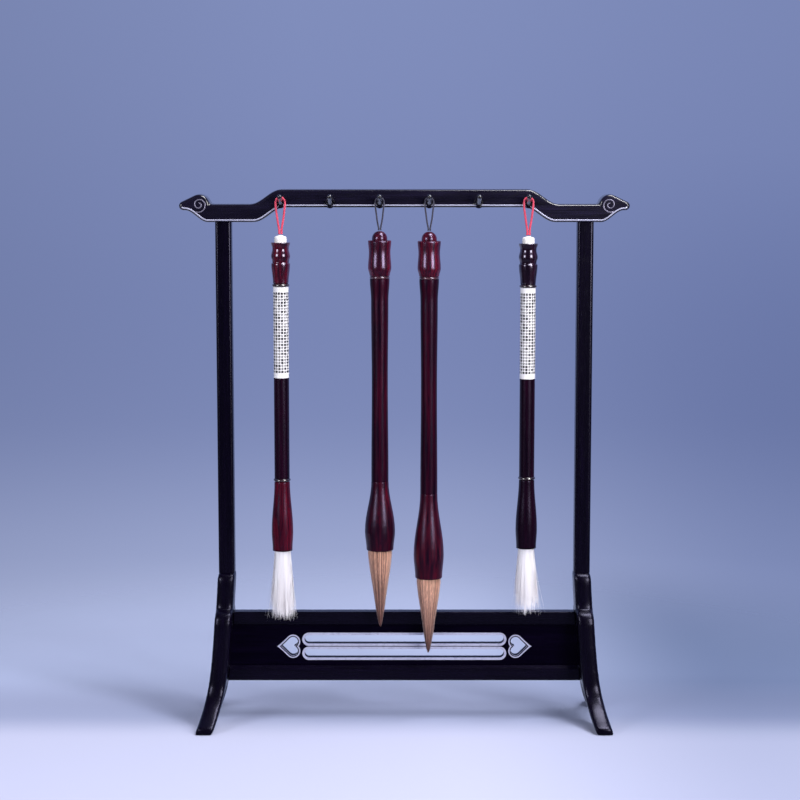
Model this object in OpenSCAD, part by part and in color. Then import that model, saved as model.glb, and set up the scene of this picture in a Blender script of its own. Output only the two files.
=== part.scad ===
// Chinese brush rack: a black wooden frame with six pegs, and four brushes that hang on it by cord loops.
// Millimetres, +Z up, X along the crossbar, -Y to the front, origin on the table under the rack's middle.

/* [Frame] */
// Height to the top of the crossbar's raised middle
rack_height = 370; // [330:1:410]
// Distance between the centre lines of the two posts
post_spacing = 246.8; // [232:0.2:262]
// Width of a post seen from the front
post_width = 11; // [9:0.5:12]
// Depth of a post from front to back
post_depth = 12; // [9:0.5:13]
// Rounding of a post's four long edges
post_edge = 2; // [0.5:0.1:3]
// Clearance around tenons, bores, tongues and beads
fit = 0.1; // [0.05:0.05:0.2]

/* [Crossbar] */
// Length from tip to tip
bar_length = 306; // [296:1:330]
// Height of the bar, in its middle and in its arms
bar_height = 12.2; // [10:0.1:16]
// Depth of the bar from front to back
bar_depth = 18; // [14:0.5:20]
// How far the middle is raised above the arms
bar_rise = 10; // [5:0.5:14]
// Half length of the flat raised middle, along the top edge
bend_start = 83.5; // [70:0.5:92]
// Length of each S-shaped shoulder along the bar
bend_run = 21.5; // [14:0.5:25]
// How much nearer the middle the shoulder starts on the underside
bend_lag = 2.5; // [0:0.5:5]
// Radius of the domed cloud head
dome_radius = 7; // [5:0.5:8]
// Distance from the tip to the centre of the cloud head
dome_inset = 13.7; // [11:0.1:16]
// Depth of the cloud head's centre below the top of the arm
dome_sink = 0.4; // [0:0.1:2]
// Radius of the beak at the tip
beak_radius = 3; // [2:0.1:4]
// Depth of the beak's centre below the top of the arm
beak_sink = 1.1; // [0.5:0.1:3]
// Length of the curve that leads from the beak down to the underside
curl_run = 16.5; // [12:0.5:20]

/* [Joinery] */
// Width of a post's tenons
tenon_width = 6; // [4:0.5:7]
// Depth of a post's tenons from front to back
tenon_depth = 7; // [4:0.5:8]
// Length of the tenon in the crossbar
top_tenon = 8; // [5:0.5:9]
// Length of the tenon in the foot
foot_tenon = 18; // [10:1:24]
// Length of a rail's stub tenons
rail_tenon = 5; // [3:0.5:6]
// Thickness of a rail's stub tenons from front to back
rail_tenon_depth = 4; // [2:0.5:5]
// Height of a rail's stub tenons
rail_tenon_height = 5; // [3:0.5:6]

/* [Feet] */
// Height of a foot
foot_height = 105; // [96:1:125]
// Thickness of a foot seen from the front
foot_width = 12; // [12:0.5:15]
// Depth of a foot on the table from front to back
foot_depth = 90; // [76:1:110]
// How far a foot flares outward from its post to the table
foot_flare = 14; // [6:0.5:18]
// How far the foot's top stands out in front of the post
foot_lip = 5; // [3:0.5:7]
// Rounding of the foot's top shoulder
lip_round = 5; // [2:0.5:6]
// Height of the second, lower shoulder
shoulder_height = 80; // [76:1:88]
// Distance of the lower shoulder from the foot's middle
shoulder_reach = 20; // [17:0.5:23]
// Rounding of the lower shoulder
shoulder_round = 8; // [4:0.5:9]
// Height at which the legs begin to flare
leg_flare_height = 30; // [22:1:40]
// Distance of the leg's outer face from the foot's middle where the flare begins
leg_reach = 22; // [20:0.5:28]
// Height of the upright edge of a toe
toe_height = 4; // [2:0.5:6]
// Length of a toe on the table
toe_length = 20; // [14:0.5:24]
// Height of the arch between the legs
arch_height = 24; // [14:1:26]

/* [Panel and rails] */
// Height of the bottom rail's underside above the table
panel_base = 28; // [27:0.5:34]
// Height of the bottom rail
bottom_rail_height = 11; // [9:0.5:13]
// Height of the open field between the rails
field_height = 28.5; // [25:0.5:32]
// Height of the top rail
top_rail_height = 9.5; // [8.5:0.5:12]
// Depth of the rails from front to back
rail_depth = 8; // [8:0.5:11]
// Height of the bevel along a rail's inner edge
rail_bevel_height = 3; // [1:0.5:4]
// Depth of the bevel along a rail's inner edge
rail_bevel_depth = 1; // [0.5:0.1:1.3]
// Thickness of the pierced board
board_thickness = 5; // [3:0.5:5.5]
// Depth of the board's tongue in each rail
tongue = 2.5; // [1.5:0.5:3]
// Height of the raised beads on the board's faces
bead_height = 0.8; // [0.4:0.1:1.2]
// Width of the raised beads
bead_width = 1.6; // [1:0.1:1.8]
// Length of each long slot
slot_length = 139.4; // [110:0.1:140]
// Height of each long slot
slot_height = 6.2; // [5:0.1:6.4]
// Distance between the centre lines of the two slots
slot_pitch = 10; // [9.7:0.1:11]
// Depth of the ornament's centre below the middle of the field
ornament_sink = 1; // [0:0.1:2]
// Distance of the heart's lobes from the middle of the panel
heart_x = 77.7; // [77.4:0.1:84]
// Radius of each lobe of a heart opening
lobe_radius = 3.4; // [3.4:0.1:3.7]
// Distance of each lobe's centre from the heart's middle line
lobe_offset = 3.3; // [2.8:0.1:3.3]
// Distance from the lobes' centres to the heart's point
heart_point = 8.1; // [8:0.1:10]
// How far the bead runs past the heart's point
heart_spire = 3.1; // [1.8:0.1:4]

/* [Pegs] */
// Distance between neighbouring pegs
peg_pitch = 33.6; // [32:0.1:36]
// Radius of a peg
peg_radius = 1.6; // [1.3:0.1:1.7]
// Length of a peg in front of the bar
peg_length = 14; // [11:0.5:16]
// Upward tilt of a peg in degrees
peg_tilt = 24; // [15:0.5:28]
// Height of a peg's root above the bar's underside
peg_root = 2.4; // [2.4:0.1:5]
// Radius of a peg's collar
collar_radius = 2.1; // [1.9:0.1:2.2]
// How far the collar stands out of the bar
collar_out = 1.2; // [1.1:0.1:1.5]
// How far the collar is let into the bar
collar_sink = 0.6; // [0.5:0.1:1]
// Radius of a peg's tenon
peg_tenon_radius = 1; // [0.8:0.1:1.1]
// Length of a peg's tenon
peg_tenon = 2.4; // [1.5:0.1:2.5]
// Distance in front of the bar at which a cord loop rests on a peg
hang_out = 3.2; // [2.8:0.1:5]

/* [Brushes 1 to 4] */
// Number of the peg that each brush hangs on
brush_pegs = [1, 3, 4, 6]; // [1:1:6]
// Drop from the peg's axis to the middle of each brush's bead
bead_drops = [25.8, 24.7, 25.1, 26.5]; // [20:0.1:30]
// Distance from each cap's rim to the lower end of the shaft
shaft_ends = [161.8, 164.9, 173.1, 159.9]; // [140:0.1:200]
// Length of each ferrule
ferrule_lengths = [48.1, 48, 59, 47.6]; // [40:0.1:62]
// Length of each head of hair below its ferrule
hair_lengths = [48, 52, 51, 44.5]; // [36:0.5:56]
// Radius of the tenons that hold shafts, caps, rings and ferrules together
spigot = 3.2; // [2.5:0.1:3.4]
// Length of a shaft's tenon in its cap
cap_spigot = 11; // [6:0.5:12]
// Length of a shaft's tenon in its ferrule
ferrule_spigot = 12; // [6:0.5:14]
// Depth of the hair's socket in a ferrule
hair_socket = 8.5; // [6:0.5:10]
// Thickness of a ferrule's lip round the hair
ferrule_lip = 0.8; // [0.6:0.1:1]
// Number of strands in each head of hair
strands = 88; // [75:1:110]

/* [Pale brushes] */
// Radius of the pale barrel-shaped bead
pale_bead = 4.2; // [3.6:0.05:4.3]
// Height of the pale bead's domed top above its middle
pale_bead_top = 3.7; // [3.4:0.1:4]
// Depth of the pale bead's flat foot below its middle
pale_bead_foot = 3.4; // [2.6:0.1:3.8]
// Rounding of the pale bead's shoulder
pale_bead_round = 1.6; // [1:0.1:2]
// Depth of the cap's rim below the bead's middle
pale_rim = 1.4; // [1:0.1:2]
// Radius of the cap's rim
pale_cap_radius = 6.6; // [6:0.05:7]
// Length of the cap
pale_cap = 28; // [26:0.5:32]
// Height of the ring under the cap
pale_ring = 2.1; // [1.5:0.1:3]
// Radius of both rings
pale_ring_radius = 5.9; // [5.5:0.05:6.2]
// Length of the printed sleeve
sleeve_length = 62.1; // [50:0.1:70]
// Radius of the printed sleeve
sleeve_radius = 5.25; // [4.8:0.05:5.6]
// Radius of the shaft
pale_shaft_radius = 5.2; // [4.5:0.05:5.5]
// Height of the ring above the ferrule
ferrule_ring = 2; // [1:0.1:3]
// Largest radius of the ferrule
pale_ferrule_radius = 7.4; // [6.5:0.05:7.6]
// Radius of the ferrule where it meets the ring above it
pale_ferrule_neck = 5.3; // [4.6:0.05:5.5]
// Distance of the ferrule's largest radius above its mouth
pale_ferrule_belly = 13; // [8:0.5:18]
// Radius of the ferrule's mouth
pale_mouth = 6.8; // [6:0.05:7.1]

/* [Brown brushes] */
// Radius of the dark bead
brown_bead = 5.2; // [4.5:0.1:5.2]
// Depth of the cap's rim below the bead's middle
brown_rim = 1.2; // [0.8:0.1:2]
// Radius of the cap's rim
brown_cap_radius = 7.9; // [7.2:0.05:8.2]
// Length of the cap
brown_cap = 24.2; // [22:0.1:28]
// Height of the ring between cap and shaft
neck_ring = 1.7; // [1:0.1:2.5]
// Radius of the ring between cap and shaft
neck_ring_radius = 6.9; // [6.4:0.05:7.2]
// Radius of the shaft at its slimmest
brown_shaft_radius = 5.5; // [5:0.05:5.8]
// Radius of the shaft's top under the ring
brown_shaft_top = 6.7; // [6:0.05:7]
// Length of the taper below the shaft's top
brown_shaft_neck = 15; // [8:0.5:24]
// Extra radius of the shaft below that taper
shaft_swell = 0.4; // [0:0.05:0.6]
// Radius at which shaft and bell ferrule meet
bell_neck = 5.9; // [5.4:0.05:6.2]
// Distance of the bell's largest radius above its mouth, as a share of its length
bell_belly = 0.27; // [0.16:0.01:0.34]
// Largest radius of the bell ferrule
bell_radius = 10.4; // [9.8:0.05:10.8]
// Radius of the bell ferrule's mouth
bell_mouth = 9.3; // [8.6:0.05:9.7]

/* [Hidden] */
$fn = 48;
BRUSHES = [1, 2, 3, 4];
PALE = [1, 4];
BROWN = [2, 3];
PEGS = [1, 2, 3, 4, 5, 6];
PALE_PIECES = ["cord_loop", "cord_knot", "bead", "cap", "cap_ring", "sleeve", "shaft",
               "ferrule_ring", "ferrule", "bristles"];
BROWN_PIECES = ["cord_loop", "cord_knot", "bead", "cap", "neck_ring", "shaft", "ferrule", "bristles"];

// Heights and places that follow from the sizes above
arm_top = rack_height - bar_rise;
arm_bottom = arm_top - bar_height;
middle_bottom = rack_height - bar_height;
post_x = post_spacing / 2;
rail_bottom_top = panel_base + bottom_rail_height;
rail_top_bottom = rail_bottom_top + field_height;
ornament_z = rail_bottom_top + field_height / 2 - ornament_sink;
peg_root_z = middle_bottom + peg_root;
hang_y = -bar_depth / 2 - hang_out;
pivot_z = peg_root_z + hang_out * tan(peg_tilt);
bead_bore = 1.4;
knot_radius = 2;
strand_sink = 0.3;
foot_chamfer = 0.6;
through = 1;
curve_steps = 10;
round_steps = 8;

// Cord radii, and the upper part of each strand's route: (distance from the loop's middle line, height
// above the peg's axis). The strands end side by side just above the bead.
red_cord = 0.75;
grey_cord = 0.6;
cord_gap = 0.4;
red_bend = [[0, 2.95], [1.55, 2.53], [2.68, 1.4], [3.1, -0.15], [3.05, -3.2],
            [2.6, -7.5], [1.9, -12], [1.2, -16.5], [0.8, -19.5]];
grey_bend = [[0, 2.8], [1.43, 2.42], [2.47, 1.38], [2.85, -0.05], [2.8, -3],
             [2.4, -7], [1.7, -12], [1, -16], [0.65, -18]];
cord_sides = 8;

// Colours of the woods, cords, sleeve and hair
ebony = "#1d1822";
mahogany = "#5a1a22";
ivory = "#f4efe9";
red_silk = "#b8486a";
grey_silk = "#4a4a60";
goat_hair = "#f0eaec";
brown_hair = "#8f6050";

function half_cosine(t) = (1 - cos(180 * t)) / 2;
function is_pale(b) = b == 1 || b == 4;
function peg_x(i) = (i - (len(PEGS) + 1) / 2) * peg_pitch;
function brush_x(b) = peg_x(brush_pegs[b - 1]);
function arc(centre, radius, from, to, steps) =
    [for (k = [0:steps]) let (a = from + (to - from) * k / steps) centre + radius * [cos(a), sin(a)]];
function s_curve(from, to, steps) =
    [for (k = [0:steps]) [from.x + (to.x - from.x) * k / steps,
                          from.y + (to.y - from.y) * half_cosine(k / steps)]];
function reversed(points) = [for (k = [len(points) - 1:-1:0]) points[k]];
function mirrored(points) = [for (p = points) [-p.x, p.y]];

// Right half of the crossbar's outline, from the middle of its top edge to the middle of its underside
dome = [bar_length / 2 - dome_inset, arm_top - dome_sink];
beak = [bar_length / 2 - beak_radius, arm_top - beak_sink];
slope = atan2(beak.y - dome.y, beak.x - dome.x) + acos((dome_radius - beak_radius) / norm(beak - dome));
under_start = bend_start - bend_lag;
bar_half = concat(
    s_curve([bend_start, rack_height], [bend_start + bend_run, arm_top], curve_steps),
    arc(dome, dome_radius, 180 - asin(dome_sink / dome_radius), slope, curve_steps),
    arc(beak, beak_radius, slope, -90, round_steps),
    reversed(s_curve([beak.x - curl_run, arm_bottom], [beak.x - beak_radius / 3, beak.y - beak_radius],
                     curve_steps)),
    reversed(s_curve([under_start, middle_bottom], [under_start + bend_run, arm_bottom], curve_steps)));

// A foot's outward flare at height z, and the curves of its two faces seen from the front
function flare(z) = let (t = 1 - z / foot_height) foot_flare * (0.45 * t + 0.55 * pow(t, 5));
function foot_face(offset) =
    [for (k = [0:2 * curve_steps]) let (z = foot_height * k / (2 * curve_steps))
        [post_x + flare(z) + offset, z]];
inner_face = foot_face(-foot_width / 2);
outer_face = foot_face(foot_width / 2);

// Half of a foot's outline seen from the side, from the top of the arch round the toe to the top
lip_reach = post_depth / 2 + foot_lip;
toe_reach = foot_depth / 2;
arch_reach = toe_reach - toe_length;
leg_curve = [for (k = [0:curve_steps]) let (t = 1 - k / curve_steps)
    [leg_reach + (toe_reach - leg_reach) * pow(t, 1.8),
     toe_height + (leg_flare_height - toe_height) * (1 - t)]];
foot_half = concat(
    [for (p = reversed(arc([0, 0], 1, 0, 90, curve_steps))) [p.x * arch_reach, p.y * arch_height]],
    [[toe_reach, 0]],
    leg_curve,
    arc([shoulder_reach - shoulder_round, shoulder_height - shoulder_round],
        shoulder_round, 0, 90, round_steps),
    [[lip_reach, shoulder_height]],
    arc([lip_reach - lip_round, foot_height - lip_round], lip_round, 0, 90, round_steps));

// A heart that points along +X, grown by an even margin
function heart(grow) =
    let (r = lobe_radius + grow,
         cleft = 180 + asin(min(1, lobe_offset / r)),
         upper = arc([0, lobe_offset], r, cleft, 45, 2 * round_steps),
         start = upper[2 * round_steps],
         point = [heart_point + heart_spire * grow / bead_width, 0],
         pull = [start.x + start.y - 0.4, 0.4],
         flank = [for (k = [1:round_steps]) let (t = k / round_steps)
             (1 - t) * (1 - t) * start + 2 * t * (1 - t) * pull + t * t * point])
    let (half = concat(upper, flank))
    concat(half, [for (k = [len(half) - 2:-1:1]) [half[k].x, -half[k].y]]);

module seen_from_front(depth) {
    rotate([90, 0, 0]) linear_extrude(depth, center = true) children();
}

module both_sides() {
    for (side = [0, 1]) mirror([side, 0, 0]) children();
}

module at_peg(i) {
    translate([peg_x(i), -bar_depth / 2, peg_root_z]) rotate([90 - peg_tilt, 0, 0]) children();
}

module post_tenons(clearance) {
    for (end = [[foot_height - foot_tenon - clearance, foot_height + through],
                [arm_bottom - through, arm_bottom + top_tenon + clearance]])
        translate([post_x, 0, (end[0] + end[1]) / 2])
            cube([tenon_width + 2 * clearance, tenon_depth + 2 * clearance, end[1] - end[0]], center = true);
}

module crossbar() {
    color(ebony) difference() {
        seen_from_front(bar_depth) polygon(concat(bar_half, reversed(mirrored(bar_half))));
        both_sides() post_tenons(fit);
        for (i = PEGS) at_peg(i) {
            translate([0, 0, -peg_tenon - fit]) cylinder(r = peg_tenon_radius + fit, h = peg_tenon + fit);
            translate([0, 0, -collar_sink]) cylinder(r = collar_radius + fit, h = collar_sink + collar_out);
        }
    }
}

module post() {
    color(ebony) union() {
        translate([post_x, 0, foot_height]) linear_extrude(arm_bottom - foot_height) {
            square([post_width - 2 * post_edge, post_depth], center = true);
            square([post_width, post_depth - 2 * post_edge], center = true);
            for (x = [-1, 1], y = [-1, 1])
                translate([x * (post_width / 2 - post_edge), y * (post_depth / 2 - post_edge)])
                    circle(post_edge);
        }
        post_tenons(0);
    }
}

// The two rails' stub tenons at the right-hand foot, each at the height of its rail's middle
module rail_tenons(z, clearance) {
    start = post_x + flare(z) - foot_width / 2 - 2 * through;
    length = rail_tenon + 2 * through + clearance;
    translate([start, -rail_tenon_depth / 2 - clearance, z - rail_tenon_height / 2 - clearance])
        cube([length, rail_tenon_depth + 2 * clearance, rail_tenon_height + 2 * clearance]);
}

bottom_rail_middle = panel_base + bottom_rail_height / 2;
top_rail_middle = rail_top_bottom + top_rail_height / 2;

module foot() {
    color(ebony) difference() {
        intersection() {
            seen_from_front(foot_depth + 2 * through) polygon(concat(inner_face, reversed(outer_face)));
            rotate([90, 0, 90]) linear_extrude(bar_length)
                polygon(concat(foot_half, reversed(mirrored(foot_half))));
        }
        post_tenons(fit);
        rail_tenons(bottom_rail_middle, fit);
        rail_tenons(top_rail_middle, fit);
    }
}

module between_feet() {
    seen_from_front(foot_depth) polygon(concat(inner_face, reversed(mirrored(inner_face))));
}

// A rail whose inner edge, at the groove, is at height inner and whose outer edge is at height outer
module rail(inner, outer) {
    up = sign(outer - inner);
    section = [[rail_depth / 2 - rail_bevel_depth, inner], [rail_depth / 2, inner + up * rail_bevel_height],
               [rail_depth / 2, outer]];
    color(ebony) difference() {
        union() {
            intersection() {
                rotate([90, 0, 90]) linear_extrude(bar_length, center = true)
                    polygon(concat(section, reversed(mirrored(section))));
                between_feet();
            }
            both_sides() rail_tenons((inner + outer) / 2, 0);
        }
        groove = tongue + fit;
        translate([0, 0, inner + up * (groove - through) / 2])
            cube([bar_length, board_thickness + 2 * fit, groove + through], center = true);
    }
}

module slot(grow) {
    radius = slot_height / 2 + grow;
    straight = slot_length - slot_height;
    square([straight, 2 * radius], center = true);
    for (side = [-1, 1]) translate([side * straight / 2, 0]) circle(radius);
}

// The openings of the ornament, all grown by the same margin: two slots and two hearts that point outward
module ornament(grow) {
    for (side = [-1, 1]) {
        translate([0, ornament_z + side * slot_pitch / 2]) slot(grow);
        mirror([side < 0 ? 1 : 0, 0]) translate([heart_x, ornament_z]) polygon(heart(grow));
    }
}

module pierced_panel() {
    color(ebony) difference() {
        union() {
            intersection() {
                translate([0, 0, rail_bottom_top + field_height / 2])
                    cube([bar_length, board_thickness, field_height + 2 * tongue], center = true);
                between_feet();
            }
            seen_from_front(board_thickness + 2 * bead_height) ornament(bead_width);
        }
        seen_from_front(foot_depth) ornament(0);
    }
}

module peg() {
    color(ebony) rotate_extrude() polygon(concat(
        [[0, -peg_tenon], [peg_tenon_radius, -peg_tenon], [peg_tenon_radius, -collar_sink],
         [collar_radius, -collar_sink], [collar_radius, collar_out], [peg_radius, collar_out]],
        arc([0, peg_length - peg_radius], peg_radius, 0, 90, round_steps)));
}

// A turned piece: stations are (distance below the cap's rim, radius), joined by smooth curves
function turned(stations) = concat(
    [[0, -stations[0][0]]],
    [for (k = [0:len(stations) - 2]) for (j = [0:round_steps - 1])
        let (a = stations[k], b = stations[k + 1], t = j / round_steps)
        [a[1] + (b[1] - a[1]) * half_cosine(t), -(a[0] + (b[0] - a[0]) * t)]],
    [[stations[len(stations) - 1][1], -stations[len(stations) - 1][0]],
     [0, -stations[len(stations) - 1][0]]]);

module turned_piece(stations) {
    rotate_extrude() polygon(turned(stations));
}

// A plain rod or bore between two distances below the cap's rim
module rod(from, to, radius) {
    translate([0, 0, -to]) cylinder(r = radius, h = to - from);
}

function bead_top(b) = is_pale(b) ? pale_bead_top : brown_bead;
function bead_foot(b) = is_pale(b) ? pale_bead_foot : brown_bead;
function rim_drop(b) = is_pale(b) ? pale_rim : brown_rim;
function cap_length(b) = is_pale(b) ? pale_cap : brown_cap;
function shaft_start(b) = is_pale(b) ? pale_cap + pale_ring + sleeve_length : brown_cap + neck_ring;
function shaft_end(b) = shaft_ends[b - 1];
function ferrule_start(b) = shaft_end(b) + (is_pale(b) ? ferrule_ring : 0);
function ferrule_end(b) = ferrule_start(b) + ferrule_lengths[b - 1];
function mouth(b) = is_pale(b) ? pale_mouth : bell_mouth;
function knot_depth(b) = bead_foot(b) - rim_drop(b) + fit + knot_radius;

// Places a brush's pieces with their origin on the brush's axis at the cap's rim
module at_brush(b) {
    translate([brush_x(b), hang_y, pivot_z - bead_drops[b - 1] - rim_drop(b)]) children();
}

// A tube of flat triangles along a loop's route, both strands, in the plane of brush axis and crossbar
function tube_ring(points, k, radius) =
    let (last = len(points) - 1,
         ahead = points[min(k + 1, last)] - points[max(k - 1, 0)],
         along = ahead / norm(ahead))
    [for (j = [0:cord_sides - 1]) let (a = 360 * j / cord_sides)
        [points[k].x - along.y * radius * cos(a), radius * sin(a), points[k].y + along.x * radius * cos(a)]];

module tube(points, radius) {
    rings = [for (k = [0:len(points) - 1]) each tube_ring(points, k, radius)];
    last = (len(points) - 1) * cord_sides;
    sides = [for (k = [0:len(points) - 2]) for (j = [0:cord_sides - 1])
        let (a = k * cord_sides + j, b = k * cord_sides + (j + 1) % cord_sides)
        each [[a, b, a + cord_sides], [b, b + cord_sides, a + cord_sides]]];
    ends = [for (j = [1:cord_sides - 2]) each [[0, j + 1, j], [last, last + j, last + j + 1]]];
    polyhedron(rings, concat(sides, ends));
}

module cord_loop(b) {
    radius = is_pale(b) ? red_cord : grey_cord;
    route = concat(is_pale(b) ? red_bend : grey_bend,
                   [[radius + fit / 2, bead_top(b) + cord_gap - bead_drops[b - 1]]]);
    color(is_pale(b) ? red_silk : grey_silk)
        translate([brush_x(b), hang_y, pivot_z])
            tube(concat(reversed(mirrored(route)), [for (k = [1:len(route) - 1]) route[k]]), radius);
}

module cord_knot(b) {
    color(is_pale(b) ? red_silk : grey_silk) at_brush(b) union() {
        rod(-rim_drop(b) - bead_top(b) + strand_sink, knot_depth(b), bead_bore - fit);
        translate([0, 0, -knot_depth(b)]) sphere(knot_radius);
    }
}

// A barrel with a domed top and a flat foot, its middle at the origin
barrel_shoulder = [pale_bead - pale_bead_round, pale_bead_top - 1.5 * pale_bead_round];
dome_start = 52;
barrel = concat([[0, -pale_bead_foot], [pale_bead - foot_chamfer, -pale_bead_foot],
                 [pale_bead, foot_chamfer - pale_bead_foot]],
                arc(barrel_shoulder, pale_bead_round, 0, 70, round_steps),
                arc([0, 0], pale_bead_top, dome_start, 90, round_steps));

module bead(b) {
    color(is_pale(b) ? ivory : mahogany) at_brush(b) difference() {
        translate([0, 0, rim_drop(b)])
            if (is_pale(b)) rotate_extrude() polygon(barrel);
            else sphere(brown_bead);
        rod(-rim_drop(b) - bead_top(b) - through, bead_foot(b) + through, bead_bore);
    }
}

// Outlines of the turned caps: rim, waist, swelling, groove; the pale ones go on to a collar and a taper
pale_cap_stations = [[0, pale_cap_radius], [4.5, 5.6], [9.3, 6.5], [13.6, 5.7], [14.6, 6.4],
                     [pale_cap, 5.3]];
brown_cap_stations = [[0, brown_cap_radius], [8.2, 7.3], [18.4, 7.9], [brown_cap, 6.8]];

module cap(b) {
    color(b == 4 ? ebony : mahogany) at_brush(b) difference() {
        turned_piece(is_pale(b) ? pale_cap_stations : brown_cap_stations);
        if (is_pale(b)) rod(-through, pale_bead_foot - pale_rim, pale_bead + fit);
        else translate([0, 0, brown_rim]) sphere(brown_bead + fit);
        rod(0, knot_depth(b) + knot_radius + fit, knot_radius + fit);
        rod(cap_length(b) - cap_spigot - fit, cap_length(b) + through, spigot + fit);
    }
}

// A plain sleeve on the shaft's spigot, and a ring there with a half-round edge
module collar(from, length, radius) {
    difference() {
        rod(from, from + length, radius);
        rod(from - through, from + length + through, spigot + fit);
    }
}

module round_ring(from, length, radius) {
    difference() {
        translate([0, 0, -from]) rotate_extrude() polygon(concat(
            [[0, 0]],
            arc([radius - length / 2, -length / 2], length / 2, 90, -90, round_steps),
            [[0, -length]]));
        rod(from - through, from + length + through, spigot + fit);
    }
}

module cap_ring(b) {
    color(ebony) at_brush(b) round_ring(pale_cap, pale_ring, pale_ring_radius);
}

module sleeve(b) {
    color(ivory) at_brush(b) collar(pale_cap + pale_ring, sleeve_length, sleeve_radius);
}

module neck_ring(b) {
    color(mahogany) at_brush(b) round_ring(brown_cap, neck_ring, neck_ring_radius);
}

module ferrule_ring(b) {
    color(ebony) at_brush(b) round_ring(shaft_end(b), ferrule_ring, pale_ring_radius);
}

module shaft(b) {
    start = shaft_start(b);
    end = shaft_end(b);
    stations = is_pale(b)
        ? [[start, pale_shaft_radius], [end, pale_shaft_radius]]
        : [[start, brown_shaft_top], [start + brown_shaft_neck, brown_shaft_radius + shaft_swell],
           [(start + end) / 2, brown_shaft_radius], [end, bell_neck]];
    color(is_pale(b) ? ebony : mahogany) at_brush(b) union() {
        rod(cap_length(b) - cap_spigot, start + through, spigot);
        turned_piece(stations);
        rod(end - through, ferrule_start(b) + ferrule_spigot, spigot);
    }
}

module ferrule(b) {
    start = ferrule_start(b);
    end = ferrule_end(b);
    stations = is_pale(b)
        ? [[start, pale_ferrule_neck], [end - pale_ferrule_belly, pale_ferrule_radius], [end, mouth(b)]]
        : [[start, bell_neck], [end - bell_belly * ferrule_lengths[b - 1], bell_radius], [end, mouth(b)]];
    color(b == 4 ? ebony : mahogany) at_brush(b) difference() {
        turned_piece(stations);
        rod(start - through, start + ferrule_spigot + fit, spigot + fit);
        rod(end - hair_socket, end + through, mouth(b) - ferrule_lip);
    }
}

// Strands spread over a disc like the seeds of a sunflower; every strand narrows and widens with the
// whole head, so none crosses another. A pale head is a full, blunt brush; a brown one runs to a point.
// Shapes are (share of the hair's length below the ferrule's mouth, share of the mouth's radius).
seed_turn = 137.508;
strand_share = 0.07;
root_share = 0.78;
root_depth = 1.5;
backing_top = 8;
backing_end = 0.5;
pale_head = [[0.4, 1.08], [0.75, 1.12], [1, 0.9]];
brown_head = [[0.26, 0.76], [0.65, 0.44], [1, 0.09]];
pale_shortening = 0.12;
brown_shortening = 0.05;

function hair_stations(b) = concat(
    [[-root_depth, root_share * mouth(b)]],
    [for (s = is_pale(b) ? pale_head : brown_head) [s[0] * hair_lengths[b - 1], s[1] * mouth(b)]]);

module bristles(b) {
    stations = hair_stations(b);
    last = len(stations) - 1;
    points = [for (i = [0:strands - 1])
        let (spread = sqrt((i + 0.5) / strands), a = seed_turn * i,
             shorter = 1 - (is_pale(b) ? pale_shortening : brown_shortening) * spread * spread)
        for (s = stations) for (j = [0:2])
            let (z = s[0] > 0 ? s[0] * shorter : s[0], corner = a + 120 * j)
            [s[1] * (spread * cos(a) + strand_share * cos(corner)),
             s[1] * (spread * sin(a) + strand_share * sin(corner)),
             -ferrule_end(b) - z]];
    faces = [for (i = [0:strands - 1]) let (base = 3 * len(stations) * i) each concat(
        [[base, base + 2, base + 1], [base + 3 * last, base + 3 * last + 1, base + 3 * last + 2]],
        [for (k = [0:last - 1]) for (j = [0:2])
            let (p = base + 3 * k + j, q = base + 3 * k + (j + 1) % 3)
            each [[p, q, p + 3], [q, q + 3, p + 3]]])];
    color(is_pale(b) ? goat_hair : brown_hair) at_brush(b) union() {
        rod(ferrule_end(b) - backing_top, ferrule_end(b) - backing_end, mouth(b) - ferrule_lip - fit);
        polyhedron(points, faces);
    }
}

crossbar();
mirror([1, 0, 0]) post();  // left_post
post();  // right_post
mirror([1, 0, 0]) foot();  // left_foot
foot();  // right_foot
rail(rail_top_bottom, rail_top_bottom + top_rail_height);  // top_rail
rail(rail_bottom_top, panel_base);  // bottom_rail
pierced_panel();
for (i = PEGS) {
    at_peg(i) peg();
}
for (b = BRUSHES) {
    cord_loop(b);
    cord_knot(b);
    bead(b);
    cap(b);
    shaft(b);
    ferrule(b);
    bristles(b);
}
for (b = PALE) {
    cap_ring(b);
    sleeve(b);
    ferrule_ring(b);
}
for (b = BROWN) {
    neck_ring(b);
}
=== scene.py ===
import math
import random

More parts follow.
